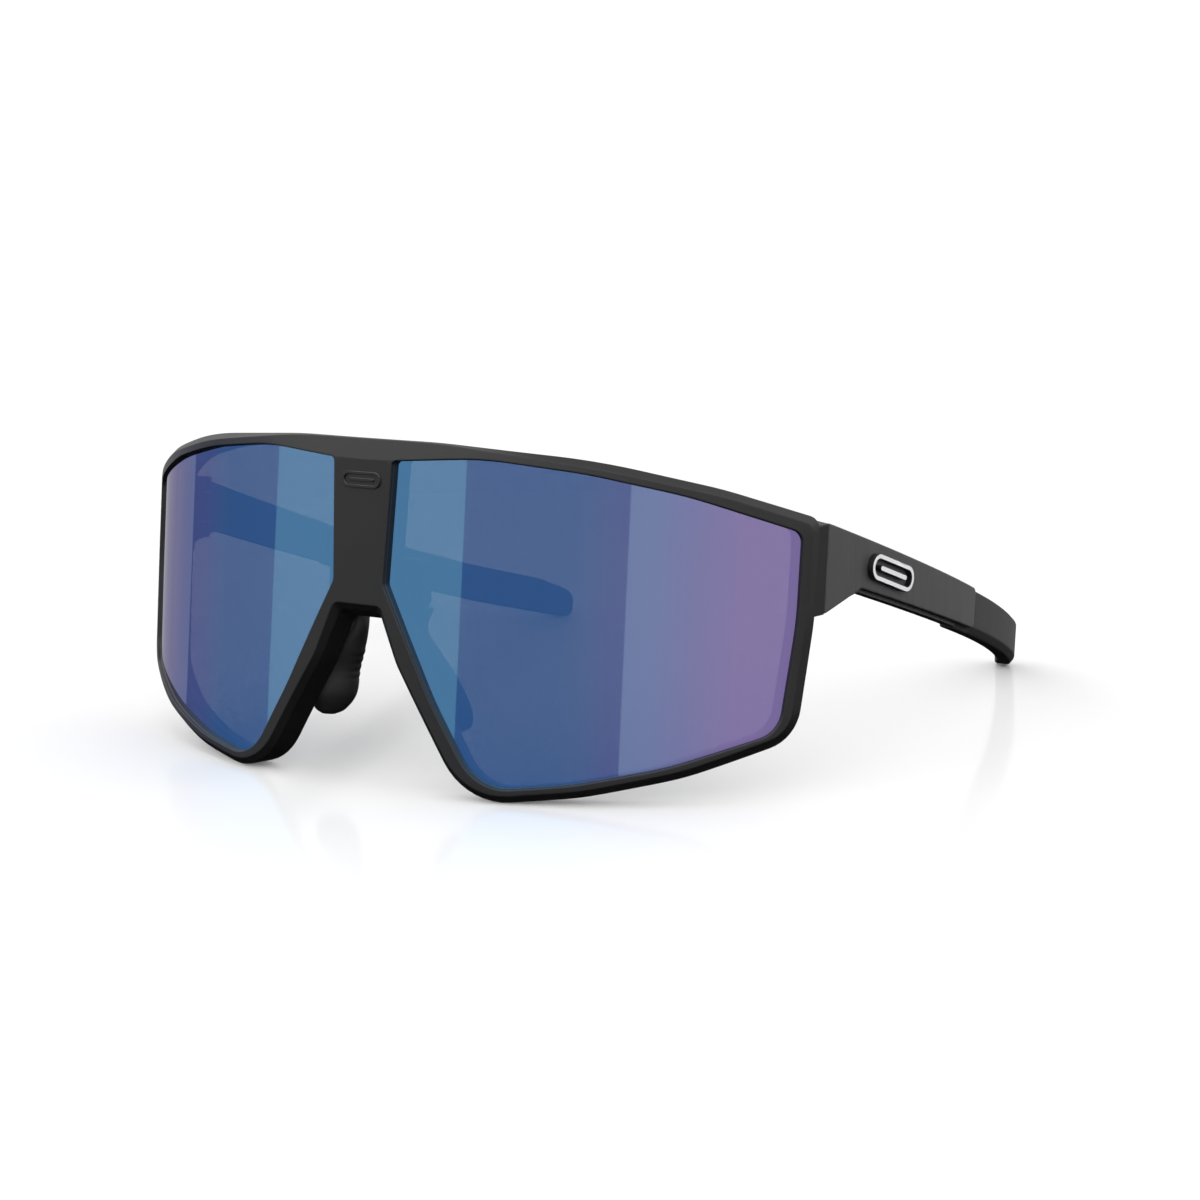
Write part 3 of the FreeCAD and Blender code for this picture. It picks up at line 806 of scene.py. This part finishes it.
def badge_shell(length, height, line, lay, rise):
    """A flat ring with a bar inside it, standing a rise proud; lay turns (u, v, depth) into a pattern."""
    shell = Shell()

    def tower(length, height, widen):
        loops = []
        for more, depth in ((widen, -rise), (0, -rise), (0, BADGE_ROOT), (widen, BADGE_ROOT)):
            points = capsule(length + 2 * more, height + 2 * more)
            loops.append(lay(np.column_stack([points, np.full(len(points), depth)])))
        return shell.wall(softened(loops, (0, 0.06, 0, 0)), mark=1)

    outer = tower(length, height, -0.1)
    inner = tower(length - 2 * line, height - 2 * line, 0.1)
    bar = tower(length - 6 * line, line * 1.1, -0.1)
    for end in (0, 1):
        shell.cap(outer[end], [inner[end]], mark=end)
        shell.add_faces([tuple(bar[end])], end)
    return shell


def make_bridge_badge():
    """Generic raised mark on the bridge."""
    def lay(loop):
        return loop + np.array([0, BRIDGE_BADGE_H, 0])

    shell = badge_shell(lay=lay, rise=BRIDGE_BADGE_RISE, **BRIDGE_BADGE)
    materials = [MATERIALS["black_badge"]] * 2
    piece = mesh_object("bridge_mark", on_front(shell.points), shell.faces, shell.marks, materials)
    settle(weighted(piece), "front", "bridge_badge")


# ======== pieces of the temples ========

def make_temple_badge(side, word):
    """Generic raised mark on a temple, with a white face and black walls."""
    cos, sin = math.cos(BADGE_SLOPE), math.sin(BADGE_SLOPE)

    def lay(loop):
        u, v, depth = loop.T
        y = BADGE_CENTRE[0] + u * cos + v * sin
        z = BADGE_CENTRE[1] - u * sin + v * cos
        return np.column_stack([y, z, depth])

    shell = badge_shell(lay=lay, rise=BADGE_RISE, **BADGE)
    materials = [MATERIALS["white_badge"], MATERIALS["black_badge"]]
    points = on_temple(shell.points, side)
    piece = mesh_object("temple_mark_" + word, points, shell.faces, shell.marks, materials)
    settle(weighted(piece), "temple_" + word, "temple_badge_" + word)


def make_temple_cover(side, word):
    """Satin shell on the outside of the temple, with softly rounded edges."""
    counts = counts_for(COVER_SIDE)
    loops = [
        level(grown(COVER_SIDE, -0.5), counts, 0.0),
        level(COVER_SIDE, counts, 0.0),
        level(COVER_SIDE, counts, 1.0),
        level(grown(COVER_SIDE, -0.3), counts, 1.0),
    ]
    shell = Shell()
    outer, inner = shell.wall(softened(loops, (0, 0.32, 0.08, 0), 4))
    shell.cap(outer, spacing=1.8)
    shell.cap(inner, spacing=1.8)
    points = on_temple(shell.points, side)
    material = [MATERIALS["cover_plastic"]]
    piece = mesh_object("cover_shell_" + word, points, shell.faces, shell.marks, material)
    settle(weighted(piece), "temple_" + word, "temple_cover_" + word)


def edge_height(start, end, y):
    """z at y on the straight line between two corners."""
    return start[1] + (end[1] - start[1]) * (y - start[0]) / (end[0] - start[0])


def make_temple_tip(side, word):
    """Rubber sleeve: a step under the cover's end, a chamfer along its lower edge, rounded all round."""
    top_front, bottom_front = (SLEEVE_START, -17.7, 0.3), (SLEEVE_START, -25.6, 0.3)
    bottom_back = (124.0, -34.75, 80.0)
    steps = (COVER_END + 0.1, SLEEVE_STEP)
    top = [(y, edge_height(top_front, SLEEVE_TOP[0], y), 0.0) for y in steps]
    bottom = [(y, edge_height(bottom_front, bottom_back, y), 0.0) for y in reversed(steps)]
    side_outline = [top_front] + top + SLEEVE_TOP + [bottom_back] + bottom + [bottom_front]
    counts = counts_for(side_outline)
    lower = [(y, z + SLEEVE_CHAMFER, radius) for y, z, radius in [bottom_back] + bottom + [bottom_front]]
    face = [top_front] + top + SLEEVE_TOP[:-1] + [SLEEVE_HEEL] + lower
    step_middle = (steps[0] + steps[1]) / 2

    def stepped(loop):
        loop = loop.copy()
        under = loop[:, 0] < step_middle
        loop[:, 2] = np.where(under, np.maximum(loop[:, 2], SLEEVE_UNDER), loop[:, 2])
        return loop

    loops = [
        level(grown(face, -0.45), counts, SLEEVE_FACE),
        level(face, counts, SLEEVE_FACE),
        level(side_outline, counts, SLEEVE_FACE + SLEEVE_CHAMFER_DEPTH),
        level(side_outline, counts, SLEEVE_BACK),
        level(grown(side_outline, -1.0), counts, SLEEVE_BACK),
    ]
    shell = Shell()
    outer, inner = shell.wall(softened([stepped(loop) for loop in loops], (0, 0.3, 0.3, 0.9, 0), 4))

    def lift(points):
        return np.where(points[:, 0] < step_middle, SLEEVE_UNDER, SLEEVE_FACE)

    shell.cap(outer, spacing=1.6, lift=lift)
    shell.cap(inner, spacing=1.8)
    points = on_temple(shell.points, side)
    material = [MATERIALS["tip_rubber"]]
    piece = mesh_object("tip_sleeve_" + word, points, shell.faces, shell.marks, material)
    settle(weighted(piece), "temple_" + word, "temple_tip_" + word)


# ======== nose pads ========

def pad_section(place):
    """Cross-section values at a fractional place in the list, on a smooth curve through them."""
    sections = np.array(PAD_SECTIONS)
    i = min(int(place), len(sections) - 2)
    t = place - i
    before, here, there, after = (sections[min(max(j, 0), len(sections) - 1)] for j in range(i - 1, i + 3))
    pull_here, pull_there = (there - before) / 2, (after - here) / 2
    cubes = (2 * t ** 3 - 3 * t ** 2 + 1, t ** 3 - 2 * t ** 2 + t, 3 * t ** 2 - 2 * t ** 3, t ** 3 - t ** 2)
    return cubes[0] * here + cubes[1] * pull_here + cubes[2] * there + cubes[3] * pull_there


def pad_ring(section, scale=1.0):
    """Points round the pad at one height, with ribs and a border line on the side that meets the nose."""
    x, y, z, half_thickness, half_width, turn = section
    turn = math.radians(turn)
    wide = np.array([-math.sin(turn), math.cos(turn), 0])
    thin = np.array([-math.cos(turn), -math.sin(turn), 0])
    turns = np.linspace(0, 2 * math.pi, PAD_POINTS, endpoint=False)
    across, out = np.cos(turns), np.sin(turns)
    facing = np.clip(out * 1.6 - 0.5, 0, 1)
    rib = 0.5 - 0.5 * math.cos(2 * math.pi * z / RIB_PITCH)
    ribbed = np.interp(z, RIB_HEIGHTS, (0, 1, 1, 0))
    neck = np.interp(z, NECK_HEIGHTS, (0, 1, 0))
    groove = RIB_DEPTH * ribbed * facing * rib ** 2
    groove += BORDER_DEPTH * ribbed * np.exp(-((out - 0.3) / 0.09) ** 2)
    groove += NECK_DEPTH * neck * np.clip(out * 2, 0, 1)
    thick = half_thickness * scale * out - groove * np.sign(out)
    points = np.outer(half_width * scale * across, wide) + np.outer(thick, thin)
    return points + np.array([x, y, z])


def make_nose_pad(side, word):
    """Soft pad on its wire: swells, leans out and opens towards the face on its way down."""
    end = len(PAD_SECTIONS) - 1
    rings = [pad_ring(pad_section(0), 0.7)]
    rings += [pad_ring(pad_section(place)) for place in np.linspace(0.01, end, PAD_RINGS)]
    rings.append(pad_ring(pad_section(end), 0.6))
    shell = Shell()
    first, last = shell.wall(rings)
    for loop in (first, last):
        middle = np.mean([shell.points[i] for i in loop], 0)
        centre = shell.add_points([middle])[0]
        shell.add_faces([(loop[i], loop[(i + 1) % len(loop)], centre) for i in range(len(loop))], 0)
    points = np.array(shell.points)
    points[:, 0] *= side
    material = [MATERIALS["nose_rubber"]]
    piece = mesh_object("pad_soft_" + word, points, shell.faces, shell.marks, material, sharp=60)
    settle(piece, "nose_pad_" + word, "nose_pad_" + word)


# ======== carried-over CAD nodes ========

def finish_node(name, material):
    node = frame["nodes"][name]
    node.data.materials.clear()
    node.data.materials.append(MATERIALS[material])


def finish_nodes():
    """Materials for the CAD nodes that are kept as they are."""
    finish_node("nose_holder", "nose_base")
    for word in ("left", "right"):
        finish_node("temple_arm_" + word, "arm_plastic")
        for name in ("nose_arm_", "temple_core_", "hinge_screw_", "hinge_washers_", "hinge_bush_"):
            finish_node(name + word, "steel")
        finish_node("hinge_nut_" + word, "brass")


# ======== studio ========

CAMERA_PLACE = Vector((267.9, -361.25, 19.15))   # millimetres, in the front's frame
CAMERA_TURN = 0.551                              # radians round the front's axis
CAMERA_PITCH = -0.089
CAMERA_ROLL = 0.049
CAMERA_LENS = 84.0
FLOOR_SIZE = 1.2
FLOOR_REACH = 0.34          # the floor has faded out at this distance, in metres
CAMERA_WHITE = 1.05
BANNER = 0.6                # what the mirror lenses show, light and dark
DARK_BANNER = (BANNER * 0.43, BANNER * 0.47, BANNER * 0.70)
BANNER_EDGES = (-105, -66, -12, 26)     # azimuths in degrees; dark and light take turns
SOFTBOX = 1.8
BACK_WALL = 1.2
GROUND = 0.01
DOME_FRONT = 2.3
DOME_BACK = 1.5
DOME_TOP = 0.95


def make_camera():
    data = bpy.data.cameras.new("camera")
    data.lens = CAMERA_LENS
    data.sensor_width = 36.0
    data.clip_start = 0.01
    data.clip_end = 20
    camera = bpy.data.objects.new("camera", data)
    bpy.context.scene.collection.objects.link(camera)
    forward = Vector((-math.sin(CAMERA_TURN) * math.cos(CAMERA_PITCH),
                      math.cos(CAMERA_TURN) * math.cos(CAMERA_PITCH), math.sin(CAMERA_PITCH)))
    right = Vector((math.cos(CAMERA_TURN), math.sin(CAMERA_TURN), 0))
    up = right.cross(forward)
    rolled = math.cos(CAMERA_ROLL) * right + math.sin(CAMERA_ROLL) * up
    rolled_up = -math.sin(CAMERA_ROLL) * right + math.cos(CAMERA_ROLL) * up
    axes = Matrix([LEAN_MATRIX @ rolled, LEAN_MATRIX @ rolled_up, LEAN_MATRIX @ -forward]).transposed()
    camera.matrix_world = Matrix.Translation(placed([CAMERA_PLACE])[0]) @ axes.to_4x4()
    bpy.context.scene.camera = camera


def make_floor():
    """White floor with a weak soft reflection, which fades into the white background."""
    bpy.ops.mesh.primitive_plane_add(size=FLOOR_SIZE, location=(0, 0, -0.0001))
    floor = bpy.context.object
    floor.name = "floor"
    material, tree, shader = principled("floor", (0.93, 0.93, 0.93), 0.12)
    shader.inputs["IOR"].default_value = 1.16
    gradient = tree.nodes.new("ShaderNodeTexGradient")
    gradient.gradient_type = "SPHERICAL"
    tree.links.new(object_coordinates(tree, (1 / FLOOR_REACH,) * 3), gradient.inputs["Vector"])
    tree.links.new(spread(tree, gradient.outputs["Fac"], 0.0, 1.0, 0.0, 0.5), shader.inputs["Alpha"])
    floor.data.materials.append(material)
    floor.visible_glossy = False
    floor.visible_diffuse = False


def around(azimuth):
    """Place of an azimuth in degrees on a ramp that runs all the way round."""
    return (azimuth + 180) / 360


def front_to_back(tree, turn, front, back, front_edge, back_edge):
    """A light level that goes from front to back round the object, between two azimuths each side."""
    return ramp(tree, turn, (
        (0.0, (back,) * 3), (around(-back_edge), (back,) * 3), (around(-front_edge), (front,) * 3),
        (around(front_edge), (front,) * 3), (around(back_edge), (back,) * 3), (1.0, (back,) * 3),
    ))


def make_world():
    """Soft white studio: a dome for the light, and upright banners that the mirror lenses show."""
    world = bpy.data.worlds.new("studio")
    bpy.context.scene.world = world
    world.use_nodes = True
    world.cycles.sampling_method = "NONE"
    tree = world.node_tree
    coordinates = tree.nodes.new("ShaderNodeTexCoord")
    split = tree.nodes.new("ShaderNodeSeparateXYZ")
    tree.links.new(coordinates.outputs["Generated"], split.inputs["Vector"])
    x, y, z = (split.outputs[name] for name in "XYZ")
    azimuth = math_node(tree, "ARCTAN2", x, math_node(tree, "MULTIPLY", y, -1.0))
    turn = math_node(tree, "ADD", math_node(tree, "DIVIDE", azimuth, 2 * math.pi), 0.5)
    height = spread(tree, z, 0.0, 1.0, -1.0, 1.0)

    light = (BANNER,) * 3
    stops = [(around(edge), (DARK_BANNER, light)[i % 2]) for i, edge in enumerate(BANNER_EDGES)]
    banners = ramp(tree, turn, [(0.0, light)] + stops, constant=True)
    upper = front_to_back(tree, turn, SOFTBOX, BACK_WALL, 75, 115)
    softbox = ramp(tree, height, ((0.62, (0, 0, 0)), (0.66, (1, 1, 1)), (0.92, (1, 1, 1)), (0.97, (0.3,) * 3)))
    above_ground = ramp(tree, height, ((0.38, (0, 0, 0)), (0.4, (1, 1, 1))))
    glossy = mixed(tree, above_ground, (GROUND,) * 3, mixed(tree, softbox, banners, upper))

    low_light = front_to_back(tree, turn, DOME_FRONT, DOME_BACK, 80, 130)
    dome = mixed(tree, spread(tree, z, 0.0, 1.0, 0.45, 0.75), low_light, (DOME_TOP,) * 3)
    dome = mixed(tree, math_node(tree, "GREATER_THAN", z, 0.0), (0.0, 0.0, 0.0), dome)

    path = tree.nodes.new("ShaderNodeLightPath")
    seen = mixed(tree, path.outputs["Is Glossy Ray"], dome, glossy)
    seen = mixed(tree, path.outputs["Is Camera Ray"], seen, (CAMERA_WHITE,) * 3)
    tree.links.new(seen, tree.nodes["Background"].inputs["Color"])


make_camera()
make_world()
make_floor()
make_front_frame()
make_bridge_badge()
for side, word in ((1, "left"), (-1, "right")):
    make_lens(side, word)
    make_temple_cover(side, word)
    make_temple_tip(side, word)
    make_temple_badge(side, word)
    make_nose_pad(side, word)
finish_nodes()

view_settings = bpy.context.scene.view_settings
view_settings.view_transform = "Standard"
